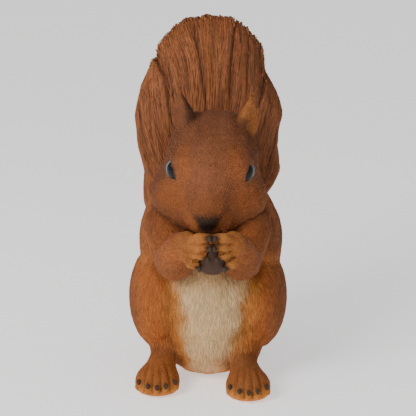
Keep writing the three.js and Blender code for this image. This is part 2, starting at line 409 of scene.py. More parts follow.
GROWTH = 0.45 * MM  # how far the nodes are grown before they are cast as one, so that their gaps close
NOSE = middle("nose")
NUT = middle("nut")
EYES = {side: middle(f"eye_{side}") for side in SIDES}
EYE_RADIUS = (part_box("eye_left")[1].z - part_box("eye_left")[0].z) / 2
OPENING_HALF_WIDTH = 0.66 * EYE_RADIUS
OPENING_HALF_HEIGHT = 0.9 * EYE_RADIUS
LIDS_REACH = 1.9 * EYE_RADIUS  # how far from an eye's middle its lids are shaped
FLOOR = CAD_BOX[0][2]
TAIL_SEAMS = (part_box("tail_tip")[0].z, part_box("tail_base")[1].z)
TAIL_X = middle("tail_base").x
FOOT = {side: middle(f"hind_foot_{side}") for side in SIDES}
PAW = {side: middle(f"forepaw_{side}") for side in SIDES}
GRIP_X = (PAW["left"].x + PAW["right"].x) / 2 / MM


def elbow_of(side):
    low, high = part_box(f"forearm_{side}")
    return Vector(((low.x + high.x) / 2, high.y, low.z + 12 * MM))


ELBOW = {side: elbow_of(side) for side in SIDES}


def shares_of(places, web):
    """How much of each part every vertex belongs to: its nearest node's, blurred over the seams."""
    trees = [tree_of(PARTS[name]) for name in PART_NAMES]
    distance = np.empty((len(places), len(trees)))
    for i, tree in enumerate(trees):
        found = [tree.find_nearest(place, 0.02) for place in places.tolist()]
        distance[:, i] = [near[3] if near[0] else 1.0 for near in found]
    nearest = distance.argmin(axis=1)
    shares = (nearest[:, None] == np.arange(len(trees))).astype(float)
    return web.smoothed(shares, 6)


# The partings between the tail's big locks, in millimetres: the upper end's x and z, the lower end's x and z,
# how far the parting bows sideways, its width, its depth, and the side whose lock lies lower.
PARTINGS = (
    (-33, 183, -20, 158, 1.5, 1.4, 2.2, 1),
    (-42, 151, -27, 108, -2.5, 1.1, 1.0, -1),
    (-8.5, 199, 0, 138, 1.8, 0.9, 1.2, 0),
    (17.5, 205, 14.5, 138, -2.2, 1.1, 1.3, 1),
    (26, 199, 24, 146, -1.0, 0.9, 0.9, 1),
    (36, 177, 27, 148, 1.5, 1.1, 1.4, -1),
    (42, 140, 32, 108, 1.5, 1.0, 0.9, -1),
    (-15, 192, -11, 150, 1.2, 0.7, 0.5, 0),
    (7, 190, 6.5, 145, 1.0, 0.7, 0.45, 0),
    (-24, 176, -20.5, 140, -1.4, 1.0, 1.4, -1),
    (-35, 160, -28, 108, -1.6, 0.7, 0.5, 0),
    (38, 164, 36, 118, 1.5, 0.7, 0.5, 0),
)


def folds(places, share):
    """1 in the folds where the jaw lies on the shoulders and the arms on the chest, and 0 away from them."""
    jaw = ramp(places[:, 1], 0, -0.012)
    under_head = 4 * share["head"] * (share["trunk"] + share["arms"] + share["paws"]) * jaw
    under_arm = 4 * share["arms"] * (share["trunk"] + share["thighs"])
    return np.clip(np.maximum(under_head, 0.8 * under_arm), 0, 1) ** 6


def tail_locks(places):
    """How deep the tail's surface lies under its full shape, in millimetres."""
    x, _, z = places.T / MM
    deepest = np.zeros(len(places))
    for x_top, z_top, x_low, z_low, bow, width, depth, under in PARTINGS:
        t = np.clip((z_top - z) / (z_top - z_low), 0, 1)
        gap = x - (x_top + (x_low - x_top) * t + bow * np.sin(np.pi * t))
        reach = ramp(z, z_low - 3, z_low + 0.4 * (z_top - z_low)) * ramp(z, z_top + 5, z_top + 1)
        lower = 0.45 * np.exp(-np.abs(gap) / 5) * (gap * under > 0)
        deepest = np.maximum(deepest, depth * reach * np.maximum(np.exp(-((gap / width) ** 2)), lower))
    return deepest


def claw_line(name, side, count):
    return np.array([middle(f"{name}_{i + 1}_{side}") for i in range(count)]) / MM


def finger_grooves(places):
    """1 between two fingers and 0 along each of them; the fingers run from the wrist in to their claws."""
    x, _, z = places.T / MM
    deepest = np.zeros(len(places))
    for side, way in SIDES.items():
        tips = claw_line("fore_claw", side, 4)
        wrist = PAW[side] / MM
        for i in range(3):
            tip = (tips[i] + tips[i + 1]) / 2
            root_x, root_z = wrist.x + 5 * way, wrist.z + 3.2 * (1 - i)
            t = np.clip((x - tip[0]) / (root_x - tip[0]), 0, 1)
            gap = z - (tip[2] + (root_z - tip[2]) * t)
            near = (x - GRIP_X) * way > -1
            deepest = np.maximum(deepest, near * np.exp(-((gap / 0.75) ** 2)) * ramp(t, 1.0, 0.35))
    return deepest


def toe_grooves(places):
    """1 between two toes and 0 along each of them; the toes run forwards from the instep."""
    x, y, z = places.T / MM
    deepest = np.zeros(len(places))
    for side in SIDES:
        tips = claw_line("hind_claw", side, 5)
        instep = FOOT[side] / MM
        for i in range(4):
            tip = (tips[i] + tips[i + 1]) / 2
            t = np.clip((y - tip[1]) / 17, 0, 1)
            gap = x - (tip[0] + (instep.x - tip[0]) * 0.55 * t)
            deepest = np.maximum(deepest, np.exp(-((gap / 0.8) ** 2)) * ramp(t, 1.0, 0.3) * ramp(z, 1.0, 3.5))
    return deepest


def eye_axes(side):
    """Where an eye looks, and the sideways and upward ways across it."""
    outward = Vector((0.86 * SIDES[side], -0.5, 0)).normalized()
    sideways = Vector((0.08 * SIDES[side], 0, 1)).cross(outward).normalized()
    return outward, sideways, outward.cross(sideways)


def roundness(up, out):
    """The power that shapes the lids' opening: pointed above, straighter at the nose, and round below."""
    return np.where(up > 0, np.where(out > 0, 1.5, 1.1), 2.5)


def opening(up, out):
    """Half the width of the lids' opening at a height up it, from -1 to 1, on its outer or its inner side."""
    power = roundness(up, out)
    return (1 - np.abs(up) ** power) ** (1 / power)


def almond(places, side):
    """How far out each place lies in the opening, 1 at its rim, how far ahead, and how far off the eye."""
    gap = places - np.array(EYES[side])
    outward, sideways, upward = (np.array(axis) for axis in eye_axes(side))
    s, u = gap @ sideways / OPENING_HALF_WIDTH, gap @ upward / OPENING_HALF_HEIGHT
    power = roundness(u, s * SIDES[side])
    ring = (np.abs(s) ** power + np.abs(u) ** power) ** (1 / power)
    return ring, gap @ outward, np.linalg.norm(gap, axis=1)


def clear_of_eyes(places):
    """Whether each place lies away from both openings."""
    clear = np.ones(len(places), bool)
    for side in SIDES:
        ring, _, radius = almond(places, side)
        clear &= (ring > 1.28) | (radius > LIDS_REACH)
    return clear


class SQUIRREL_OT_skin(bpy.types.Operator):
    """Cast the whole body as one skin that takes the place of the flesh nodes"""

    bl_idname = "squirrel.skin"
    bl_label = "Skin"

    def execute(self, context):
        carving = context.scene.squirrel_carving
        names = [name for nodes in PARTS.values() for name in nodes]
        mesh = bpy.data.meshes.new("skin")
        bm = merged_copy([*names, "nose"], GROWTH)
        bm.to_mesh(mesh)
        bm.free()
        skin = new_object("skin", mesh)
        remesh = skin.modifiers.new("remesh", "REMESH")
        remesh.mode = "VOXEL"
        remesh.voxel_size = carving.grain
        with_modifiers(skin)
        mesh = skin.data
        keep_largest_shell(mesh)
        web = Web(mesh)
        places = column(mesh.vertices, "co", 3)
        shares = shares_of(places, web)
        share = dict(zip(PART_NAMES, shares.T))
        amount = 1 - 0.8 * share["paws"] - 0.45 * share["feet"] - 0.93 * share["ears"]
        places = web.relaxed(places, 26, np.clip(amount, 0.05, 1))
        seams = [np.exp(-(((places[:, 2] - level) / (7 * MM)) ** 2)) for level in TAIL_SEAMS]
        evened = (share["tail"] * np.max(seams, axis=0))[:, None]
        places = places + evened * (web.smoothed(places, 70) - places)
        places = self.filled(self.pointed(places, share["ears"]), share)
        mesh.vertices.foreach_set("co", places.astype(np.float32).ravel())
        mesh.update()
        normals = column(mesh.vertices, "normal", 3)
        places = places - normals * (GROWTH + carving.coat_depth)
        places = self.sculpted(places, normals, share)
        places[:, 2] = np.maximum(places[:, 2], FLOOR)
        mesh.vertices.foreach_set("co", places.astype(np.float32).ravel())
        mesh.update()
        self.unwrap(skin)
        normals = column(mesh.vertices, "normal", 3)
        share["hollow_shade"] = np.clip(dot(web.smoothed(places, 14) - places, normals) / MM, -1, 2)
        for name, values in share.items():
            put(mesh, "share_" + name, values)
        surface = Surface(skin)
        paint = markings(surface.places, surface.normals, surface.shares)
        put(mesh, "paint", paint)
        put(mesh, "crest", np.full(len(places), 0.1))
        put(mesh, "strand", share["tail"])
        mesh.shade_smooth()
        finish_piece(skin, coat_paint(), names)
        return {"FINISHED"}

    def pointed(self, places, ears):
        """Draws the tops of the ears up and out to points."""
        places = places.copy()
        for side, way in SIDES.items():
            low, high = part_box(f"ear_{side}")
            point = (high.x if way > 0 else low.x) - 3.2 * MM * way
            near = ears * (places[:, 0] * way > 0) * ramp(places[:, 2], high.z - 0.015, high.z + 0.001)
            places[:, 0] += near * 0.5 * (point - places[:, 0])
            places[:, 2] += near * 2 * MM
        return places

    def filled(self, places, share):
        """Gives back what the smoothing takes from tail and crown, and slants the tail's upper corners."""
        x, _, z = places.T / MM
        places = places.copy()
        tail, top = share["tail"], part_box("head")[1].z / MM
        places[:, 0] += tail * ramp(x, 26, 40) * ramp(z, 98, 114) * ramp(z, 172, 158) * 2.4 * MM
        places[:, 0] += tail * (2.4 * ramp(-x, 10, 24) - 3 * ramp(x, 12, 26)) * ramp(z, 185, 198) * MM
        places[:, 2] += tail * ramp(z, 184, 203) * 1.4 * MM
        beside_ears = 2.2 * ramp(np.abs(x - 17), 11, 3) + 1.6 * ramp(np.abs(x + 11), 8, 2)
        places[:, 2] += share["head"] * ramp(z, top - 14, top - 5) * beside_ears * MM
        return places

    def sculpted(self, places, normals, share):
        """Parts the tail's locks, the fingers and the toes, and opens the eyes."""
        depth = tail_locks(places) * share["tail"] + 1.3 * finger_grooves(places) * share["paws"]
        depth += 1.25 * toe_grooves(places) * share["feet"] + 1.1 * folds(places, share)
        places = places - normals * (depth * MM)[:, None]
        for side in SIDES:
            ring, out, radius = almond(places, side)
            near = (radius < LIDS_REACH) & (out > -0.2 * EYE_RADIUS)
            wanted = EYE_RADIUS + (2.15 * np.clip((ring - 0.8) / 0.3, 0, 1) - 1.6) * MM
            hold = near * (1 - ramp(ring, 1.05, 1.75))
            outward = unit(places - np.array(EYES[side]))
            places = places + outward * ((wanted - radius) * hold)[:, None]
        return places

    def unwrap(self, skin):
        """Unwraps the skin's own shape, which the coat's patches use."""
        bpy.ops.object.select_all(action="DESELECT")
        bpy.context.view_layer.objects.active = skin
        skin.select_set(True)
        skin.data.uv_layers.new(name="OFBake")
        bpy.ops.object.mode_set(mode="EDIT")
        bpy.ops.mesh.select_all(action="SELECT")
        bpy.ops.uv.smart_project(angle_limit=math.radians(72), island_margin=0.002)
        bpy.ops.object.mode_set(mode="OBJECT")


class Surface:
    """A finished skin, asked for its places, its lie and its unwrap."""

    def __init__(self, skin):
        mesh = skin.data
        mesh.calc_loop_triangles()
        self.places = column(mesh.vertices, "co", 3)
        self.normals = column(mesh.vertices, "normal", 3)
        self.triangles = column(mesh.loop_triangles, "vertices", 3).astype(int)
        corners = column(mesh.loop_triangles, "loops", 3).astype(int)
        self.unwrap = column(mesh.uv_layers["OFBake"].data, "uv", 2)[corners]
        self.shares = {name: column(mesh.attributes["share_" + name].data, "value") for name in SHARE_NAMES}
        self.tree = BVHTree.FromPolygons(self.places.tolist(), self.triangles.tolist())

    def nearest(self, points):
        """The nearest places on the skin and their normals."""
        found = [self.tree.find_nearest(point) for point in points.tolist()]
        index = np.array([near[2] for near in found])
        return np.array([near[0][:] for near in found]), self.facing(index)

    def facing(self, triangles):
        """The way that each of some triangles faces, evened by its corners."""
        return unit(self.normals[self.triangles[triangles]].mean(axis=1))

    def shares_in(self, triangles):
        """How much of each part every one of some triangles belongs to."""
        return {name: values[self.triangles[triangles]].mean(axis=1) for name, values in self.shares.items()}

    def scatter(self, chosen, spacing, draw):
        """Roots spread evenly over the chosen triangles, about spacing apart."""
        corners = self.places[self.triangles[chosen]]
        first, second = corners[:, 1] - corners[:, 0], corners[:, 2] - corners[:, 0]
        area = np.linalg.norm(np.cross(first, second), axis=1) / 2
        count = int(3.2 * area.sum() / spacing**2)
        picked = draw.choice(len(chosen), count, p=area / area.sum())
        first, second = draw.random((2, count, 1))
        fold = first + second > 1
        first, second = np.where(fold, 1 - first, first), np.where(fold, 1 - second, second)
        weights = np.hstack([1 - first - second, first, second])
        places = np.einsum("ij,ijk->ik", weights, corners[picked])
        cells = np.floor(places / spacing + draw.random(3)).astype(int)
        _, kept = np.unique(cells, axis=0, return_index=True)
        kept = np.sort(kept)
        triangle = np.array(chosen)[picked[kept]]
        flat = np.einsum("ij,ijk->ik", weights[kept], self.unwrap[triangle])
        return places[kept], triangle, flat


# ---------------- the coat


def blended_tint(base, tint, amount):
    return base + (np.array(tint) - base) * np.clip(amount, 0, 1)[:, None]


class Brush:
    """The colours of many places on the figure, built up in washes and shades."""

    def __init__(self, places, normals, share):
        self.tints = bpy.context.scene.squirrel_paint
        self.places, self.normals, self.share = places, normals, share
        self.front = ramp(-normals[:, 1], -0.25, 0.35)
        self.colours = np.tile(np.array(self.tints.fox), (len(places), 1))

    def wash(self, name, amount):
        """Lays one of the paints over the places, as thickly as the amount from 0 to 1."""
        self.colours = blended_tint(self.colours, getattr(self.tints, name), amount)

    def dab(self, name, amount, centre, offset, radii):
        """Washes a soft egg of colour, offset from a centre; offset and radii are in millimetres."""
        gap = self.places - np.array(centre) - np.array(offset) * MM
        self.wash(name, amount * ramp(np.linalg.norm(gap / (np.array(radii) * MM), axis=1), 1.0, 0.45))

    def shade(self, amount):
        """Darkens the places by a share, or lightens them where it is below 0."""
        self.colours = self.colours * (1 - amount)[:, None]


def paint_body(brush):
    """Trunk and thighs: a dark back, painted shade on the outer flanks, and orange flanks that pale to the
    cream belly.
    """
    x, _, z = brush.places.T / MM
    share, front = brush.share, brush.front
    low_body = np.clip(share["trunk"] + share["thighs"], 0, 1)
    brush.wash("orange", low_body * ramp(z, 92, 66) * (0.35 + 0.65 * front))
    # painted shade: umber on the outer flanks, which turn away from the front
    edge, back = np.maximum(ramp(-x, 36, 46), ramp(x, 32, 43)), ramp(brush.normals[:, 1], -0.35, 0.35)
    brush.wash("umber", low_body * np.maximum(0.7 * edge, 0.5 * back))
    half = 9.5 + 0.155 * z + 1.5 * np.sin(z / 5.1 + x / 3) + 1.2 * np.sin(z / 2.3 - x / 4)
    off = np.abs(x - 2.2 + 3.5 * ramp(z, 45, 5))
    belly = front * ramp(z, 84, 74) * share["trunk"]
    brush.wash("ochre", low_body * front * ramp(off, half + 14, half + 2) * ramp(z, 84, 70))
    brush.wash("cream", belly * ramp(off, half + 5, half - 5))
    brush.wash("ochre", belly * (0.7 * ramp(z, 9, 3) + 0.2 * ramp(z, 34, 8) + 0.45 * ramp(z, 60, 82)))


def paint_arms(brush):
    """Arms and paws: orange, with ochre fingers that turn near black round the claws, partly the claws' own
    dark paint and partly painted shade where the fingers meet at the nut.
    """
    x, _, z = brush.places.T / MM
    arm, paw = brush.share["arms"], brush.share["paws"]
    brush.wash("umber", 0.35 * arm * ramp(z, 86, 100))
    brush.wash("orange", arm * 0.65 * brush.front * ramp(np.abs(x), 36, 24))
    brush.wash("umber", 0.35 * arm * ramp(z, 90, 78))
    brush.wash("ochre", paw * (0.4 + 0.4 * ramp(np.abs(x - 2), 18, 8)))
    # dark paint round each fore claw, which also stands for painted shade in the gap between the hands
    for side in SIDES:
        for tip in claw_line("fore_claw", side, 4) * MM:
            brush.dab("soot", 0.9 * paw, tip, (0, 0, 0), (4.6, 5, 3.6))


def paint_feet(brush):
    """Feet: red-brown on top, dark at the ankles, and pale at the edge of the sole, with painted light where
    the pad's underside lies in shadow.
    """
    x, _, z = brush.places.T / MM
    foot = brush.share["feet"]
    ankle = np.clip(foot + brush.share["thighs"], 0, 1) * ramp(np.abs(z - 22), 9, 2)
    brush.wash("orange", 0.8 * foot)
    brush.wash("umber", 0.45 * ankle + 0.35 * foot * ramp(x, 4, 14))
    brush.wash("ochre", foot * (0.25 + 0.75 * ramp(z, 10, 5)))
    # painted light: lightens the lowest millimetres of the feet, where the pad's underside would be in shadow
    brush.shade(-0.45 * foot * ramp(z, 8, 3))


def paint_head(brush):
    """Head: a darker crown and right side, painted shade on the sides that face outwards and in a crease
    below each eye, orange brows, cheeks and muzzle, and a sooty wedge over the nose.
    """
    x, _, z = brush.places.T / MM
    head = brush.share["head"]
    brush.wash("clay", 0.8 * head * ramp(z, 112, 130))
    brush.wash("umber", 0.3 * head * ramp(z, 136, 150))
    brush.wash("umber", 0.4 * head * ramp(x, 0, -24))
    for side, way in SIDES.items():
        # painted shade on the sides of the head that face outwards, away from the front
        side_shade = ramp(brush.normals[:, 0] * way, 0.6, 0.95)
        brush.wash("umber", 0.6 * head * side_shade * ramp(z, 112, 124))
        brush.dab("orange", 0.45 * head, EYES[side], (-5 * way, -3, 4), (8, 16, 16))
        brush.dab("orange", 0.45 * head, EYES[side], (1.5 * way, 0, -15), (15, 20, 13))
        # painted shade in the crease from each eye's inner corner down to the muzzle
        brush.dab("umber", 0.22 * head, EYES[side], (-8 * way, -10, -13), (5, 14, 12))
        brush.dab("orange", 0.6 * head, NOSE, (9 * way, 5, -2), (8, 9, 8))
    aside, ahead, _ = (np.abs(brush.places - np.array(NOSE)) / MM).T
    up = (z - NOSE.z / MM + 7.5) / 11
    wedge = ramp(aside - 1 - 7 * up, 2.4, -1.4) * ramp(up, 1.2, 0.75) * ramp(up, -0.35, 0.05)
    brush.wash("soot", 0.92 * head * wedge * ramp(ahead, 16, 10))


def paint_ears(brush):
    """Ears: brown fronts, one darker than the other, with painted shade in the cup on the side towards the
    crown.
    """
    x, _, z = brush.places.T / MM
    ear = brush.share["ears"]
    brush.wash("umber", 0.55 * ear * (x < 0))
    brush.wash("ochre", 0.38 * ear * (x > 0))
    for side, way in SIDES.items():
        cup = middle(f"ear_{side}") / MM
        top = cup.z + (14 if way < 0 else 3)
        inner = ramp((x - cup.x) * way, 1.5, -3.5) * ramp(np.abs(x - cup.x), 13, 9) * ramp(z, top, top - 8)
        # painted shade in the ear's cup, on the side towards the crown
        brush.wash("umber", 0.9 * ear * inner * ramp(-brush.normals[:, 1], -0.1, 0.4))
        brush.shade(0.4 * ear * inner)


def paint_tail(brush):
    """Tail: streaked along its length, and darker on its left side."""
    x, _, z = brush.places.T / MM
    tail = brush.share["tail"]
    brush.wash("clay", 0.25 * tail)
    brush.shade(0.08 * tail)
    streak = np.sin(x * 1.9 + np.sin(z / 11) * 2) * 0.5 + np.sin(x * 0.7 + z / 23) * 0.5
    brush.wash("orange", 0.25 * tail * np.clip(streak, 0, 1))
    brush.wash("umber", 0.4 * tail * np.clip(-streak, 0, 1))
    dark_side = 0.5 * ramp(x, 4, 32) * ramp(z, 70, 130) + 0.3 * ramp(z, 160, 120) * ramp(x, 30, 0)
    brush.wash("umber", tail * dark_side)


def markings(places, normals, share):
    """The paint of the figure at each place, with painted shade in its hollows, its partings and its folds.
    """
    brush = Brush(places, normals, share)
    for paint_part in (paint_body, paint_arms, paint_feet, paint_head, paint_ears, paint_tail):
        paint_part(brush)
    # painted shade: darker along the tail's partings, in the hollows of the skin and in the folds under the
    # jaw and the arms
    parting_shade = 0.4 * share["tail"] * ramp(tail_locks(places), 0.2, 1.5)
    hollow_shade = 0.45 * ramp(share["hollow_shade"], 0.15, 1.0)
    brush.shade(np.maximum.reduce([parting_shade, hollow_shade, 0.28 * folds(places, share)]))
    return brush.colours


def lie(places, normals, share):
    """The way that the coat runs at each place."""
    x, _, z = places.T / MM
    down = np.tile((0.0, 0.12, -1.0), (len(places), 1))
    down[:, 0] += 0.014 * (x - 2) * ramp(z, 40, 80) - 0.02 * (x - 2) * ramp(z, 45, 10)
    way = down * share["trunk"][:, None]
    from_nose = places - (np.array(NOSE) + np.array((0, -6, -4)) * MM)
    way += unit(from_nose + np.array((0, 0.004, 0))) * share["head"][:, None]
    way += np.array((0, 0.1, 1.0)) * share["ears"][:, None]
    fan = np.zeros_like(places)
    fan[:, 0] = 1.25 * (x - TAIL_X / MM) / (np.maximum(z, 10) + 5)
    fan[:, 0] -= 0.4 * ramp(z, 150, 195) * ramp(x, 8, -22)
    fan[:, 1] = 0.3 * ramp(z, 165, 205)
    fan[:, 2] = 1.0
    way += unit(fan) * share["tail"][:, None]
    elbow, paw, foot = (np.array([of["right"], of["left"]])[(x > 0).astype(int)] for of in (ELBOW, PAW, FOOT))
    fold = ramp(places[:, 1], elbow[:, 1] - 0.001, elbow[:, 1] - 0.012)[:, None]
    arm = unit(elbow - places) * (1 - fold) + unit(paw - places) * fold
    way += arm * share["arms"][:, None]
    grip = np.array((NUT.x, NUT.y - 0.004, NUT.z + 0.008))
    way += unit(grip - places) * share["paws"][:, None]
    toward = foot + np.array((0, -0.012, -0.006)) - places
    thigh = unit(down + unit(toward) * (0.9 * ramp(z, 75, 25))[:, None])
    way += thigh * share["thighs"][:, None]
    way += unit(np.tile((0.0, -1.0, -0.5), (len(places), 1))) * share["feet"][:, None]
    along = way - normals * dot(way, normals)[:, None]
    return unit(along)


class Stroke:
    """One way of cutting the coat: sizes in millimetres, and how many steps a stroke has."""

    def __init__(self, length, width, height, spacing, steps=3, wander=0.2, lift=0.5, tone=0.25):
        self.length, self.width, self.height = length * MM, width * MM, height * MM
        self.spacing, self.steps, self.wander, self.lift, self.tone = spacing * MM, steps, wander, lift, tone


STROKES = {
    "head": Stroke(2.2, 0.56, 0.32, 0.82, steps=2, wander=0.35, lift=0.45, tone=0.19),
    "ears": Stroke(3.2, 0.5, 0.22, 0.95, steps=2, wander=0.2, lift=0.4, tone=0.14),
    "trunk": Stroke(6.4, 0.6, 0.42, 1.3, steps=4, wander=0.2, lift=0.35, tone=0.13),
    "arms": Stroke(4.6, 0.62, 0.3, 1.1, steps=3, wander=0.22, lift=0.3, tone=0.14),
    "paws": Stroke(2.6, 0.45, 0.18, 1.05, steps=2, wander=0.15, lift=0.2, tone=0.12),
    "thighs": Stroke(6.5, 0.66, 0.4, 1.2, steps=4, wander=0.18, lift=0.3, tone=0.14),
    "feet": Stroke(3.2, 0.5, 0.2, 1.15, steps=2, wander=0.15, lift=0.2, tone=0.12),
    "tail": Stroke(26.0, 0.9, 0.6, 1.85, steps=8, wander=0.06, lift=0.3, tone=0.22),
}

PATCH = 0.003  # how wide each stroke's patch is on the unwrap of the skin


def tuft_faces(rings):
    """The faces of one stroke: a root point, rings of left, crest and right, and a tip point."""
    tip = 1 + 3 * rings
    last = tip - 3
    faces = []
    for corner, after in ((0, 1), (1, 2), (2, 0)):
        faces += [(0, 1 + after, 1 + corner), (tip, last + corner, last + after)]
        for here in range(1, last, 3):
            faces.append((here + corner, here + after, here + 3 + after, here + 3 + corner))
    return faces


def tuft_piece(name, rings_of, tips, tint, crest, strand, flat):
    """Joins many strokes into one piece of the coat. rings_of holds each stroke's rings of three places."""
    count, rings = rings_of.shape[:2]
    roots, ends = tips
    points = np.concatenate([roots[:, None], rings_of.reshape(count, rings * 3, 3), ends[:, None]], axis=1)
    points[..., 2] = np.maximum(points[..., 2], FLOOR)
    per = points.shape[1]
    faces = tuft_faces(rings)
    mesh = bpy.data.meshes.new(name)
    mesh.vertices.add(count * per)
    mesh.vertices.foreach_set("co", points.astype(np.float32).ravel())
    template = np.concatenate(faces)
    corners = (template[None] + per * np.arange(count)[:, None]).ravel()
    mesh.loops.add(len(corners))
    mesh.loops.foreach_set("vertex_index", corners)
    mesh.polygons.add(count * len(faces))
    starts = np.cumsum([0, *(len(face) for face in faces[:-1])])
    starts = starts[None] + len(template) * np.arange(count)[:, None]
    mesh.polygons.foreach_set("loop_start", starts.ravel())
    mesh.update(calc_edges=True)
    along = np.concatenate([[0.0], np.repeat(np.arange(1, rings + 1), 3) / (rings + 1), [1.0]]) - 0.5
    aside = np.concatenate([[0.0], np.tile([-0.5, 0.0, 0.5], rings), [0.0]])
    place = flat[:, None] + PATCH * np.stack([along, aside], axis=1)[None]
    layer = mesh.uv_layers.new(name="OFBake")
    layer.data.foreach_set("uv", place.reshape(-1, 2)[corners].astype(np.float32).ravel())
    put(mesh, "paint", np.repeat(tint, per, axis=0))
    put(mesh, "crest", np.tile(crest, count))
    put(mesh, "strand", np.repeat(strand, per))
    mesh.validate()
    mesh.shade_smooth()
    finish_piece(new_object(name, mesh), bpy.data.materials["painted_coat"])


def walked(surface, roots, normal, share, stroke, length, draw):
    """The path of each stroke over the skin along the lie of the coat, with the way up and ahead on it."""
    turn = draw.normal(0, stroke.wander, len(roots))
    curl = draw.normal(0, stroke.wander * 0.8, len(roots))
    place, path, ups, ways = roots, [roots], [normal], []
    for step in range(stroke.steps):
        way = lie(place, normal, share)
        angle = turn + curl * (step / stroke.steps - 0.5)
        way = way * np.cos(angle)[:, None] + np.cross(normal, way) * np.sin(angle)[:, None]
        ahead = place + way * (length / stroke.steps)[:, None]
        place, normal = surface.nearest(ahead)
        if step == stroke.steps - 1:
            place = place + 0.75 * (ahead - place)
        ways.append(way)
        path.append(place)
        ups.append(normal)
    return path, ups, [*ways, way]


def cut_strokes(name, surface, part, chosen, draw, crowding):
    """Cuts one region's strokes."""
    stroke = STROKES[part]
    roots, triangle, flat = surface.scatter(chosen, stroke.spacing / math.sqrt(crowding), draw)
    share, normal = surface.shares_in(triangle), surface.facing(triangle)
    count = len(roots)
    length = stroke.length * draw.uniform(0.65, 1.25, count)
    width = stroke.width * draw.uniform(0.75, 1.25, count)
    height = stroke.height * draw.uniform(0.6, 1.3, count)
    path, ups, ways = walked(surface, roots, normal, share, stroke, length, draw)
    t = np.arange(stroke.steps + 1) / stroke.steps
    rise = np.sin(np.pi * t**0.8) * (1 - stroke.lift) + stroke.lift * t
    spread = np.sin(np.pi * np.clip(t * 0.92 + 0.08, 0, 1)) ** 0.7
    sink = 0.16 * MM
    rings = []
    for i in range(1, stroke.steps):
        aside = unit(np.cross(ups[i], ways[i])) * (width * 0.5 * spread[i])[:, None]
        base = path[i] - ups[i] * sink + ups[i] * (height * stroke.lift * 0.35 * t[i])[:, None]
        crown = path[i] + ups[i] * (height * rise[i])[:, None]
        rings.append(np.stack([base - aside, crown, base + aside], axis=1))
    tips = (path[0] - ups[0] * sink, path[-1] + ups[-1] * (height * rise[-1] * 0.8)[:, None])
    light = 1 + stroke.tone * draw.normal(0, 1, count).clip(-2, 2)
    warm = 1 + 0.05 * draw.normal(0, 1, (count, 3))
    tint = markings(roots, normal, share) * light[:, None] * warm
    ring_crest = np.outer(0.75 + 0.25 * t[1:-1], (0, 1, 0))
    crest = np.concatenate([[0.25], ring_crest.ravel(), [0.9]])
    tuft_piece(name, np.stack(rings, axis=1), tips, tint, crest, share["tail"], flat)


class SQUIRREL_OT_coat(bpy.types.Operator):
    """Cut the strokes of the coat over every part of the skin"""

    bl_idname = "squirrel.coat"
    bl_label = "Coat"

    def execute(self, context):
        carving = context.scene.squirrel_carving
        draw = np.random.default_rng(carving.seed)
        skin = bpy.data.objects["skin"]
        surface = Surface(skin)
        stack = np.stack([surface.shares[name] for name in PART_NAMES], axis=1)
        part_of = stack[surface.triangles].mean(axis=1).argmax(axis=1)
        centres = surface.places[surface.triangles].mean(axis=1)
        open_skin = (centres[:, 2] > FLOOR + 1.2 * MM) & clear_of_eyes(centres)
        crowding = carving.crowding
        for i, part in enumerate(PART_NAMES):
            chosen = np.flatnonzero((part_of == i) & open_skin)
            if part == "tail":
                front = centres[chosen, 1] < middle("tail_middle").y
                cut_strokes("coat_tail_front", surface, part, chosen[front], draw, crowding)
                cut_strokes("coat_tail_back", surface, part, chosen[~front], draw, 0.7 * crowding)
            else:
                cut_strokes("coat_" + part, surface, part, chosen, draw, crowding)
        self.rim_tufts(surface, part_of, centres, draw)
        for name in SHARE_NAMES:
            skin.data.attributes.remove(skin.data.attributes["share_" + name])
        return {"FINISHED"}

    def rim_tufts(self, surface, part_of, centres, draw):
        """Blunt ends of locks that stand out round the tail's upper edge."""
        sideways = np.abs(surface.facing(slice(None))[:, 1]) < 0.4
        edge = (part_of == PART_NAMES.index("tail")) & sideways & (centres[:, 2] > 0.085)
        roots, triangle, flat = surface.scatter(np.flatnonzero(edge), 1.7 * MM, draw)
        share, up = surface.shares_in(triangle), surface.facing(triangle)
        count = len(roots)
        lean = 0.14 + 0.5 * ramp(roots[:, 2], 0.165, 0.198)
        way = unit(lie(roots, up, share) + up * lean[:, None])
        aside = unit(np.cross(up, way))
        thick = unit(np.cross(way, aside))
        length = draw.uniform(2.2, 3.8, (count, 1)) * MM
        half = draw.uniform(0.55, 0.9, (count, 1)) * MM
        rings = []
        for t, spread in ((0.3, 0.9), (0.8, 1.0), (0.97, 0.62)):
            centre = roots + way * length * t - up * 0.5 * MM
            across, crown = aside * half * spread, centre + thick * half * 0.8 * spread
            rings.append(np.stack([centre - across, crown, centre + across], axis=1))
        tips = (roots - up * 0.6 * MM, roots + way * length - up * 0.4 * MM)
        tint = markings(roots, up, share) * (1 + 0.2 * draw.normal(0, 1, (count, 1)).clip(-2, 2))
        crest = np.concatenate([[0.1], [0.5, 0.9, 0.5] * 3, [0.9]])
        rings = np.stack(rings, axis=1)
        tuft_piece("coat_tail_edge", rings, tips, tint, crest, share["tail"], flat)


# ---------------- eyes, nose, claws and nut


def ball(name, segments, half, centre, bend=None):
    """An egg of the given half sizes; bend moves each vertex of the unit ball that it starts from."""
    bm = bmesh.new()
    bmesh.ops.create_uvsphere(bm, u_segments=segments[0], v_segments=segments[1], radius=1)
    if bend:
        for vertex in bm.verts:
            bend(vertex.co)
    bmesh.ops.scale(bm, verts=bm.verts, vec=half)
    bmesh.ops.translate(bm, verts=bm.verts, vec=centre)
    return object_from(bm, name)


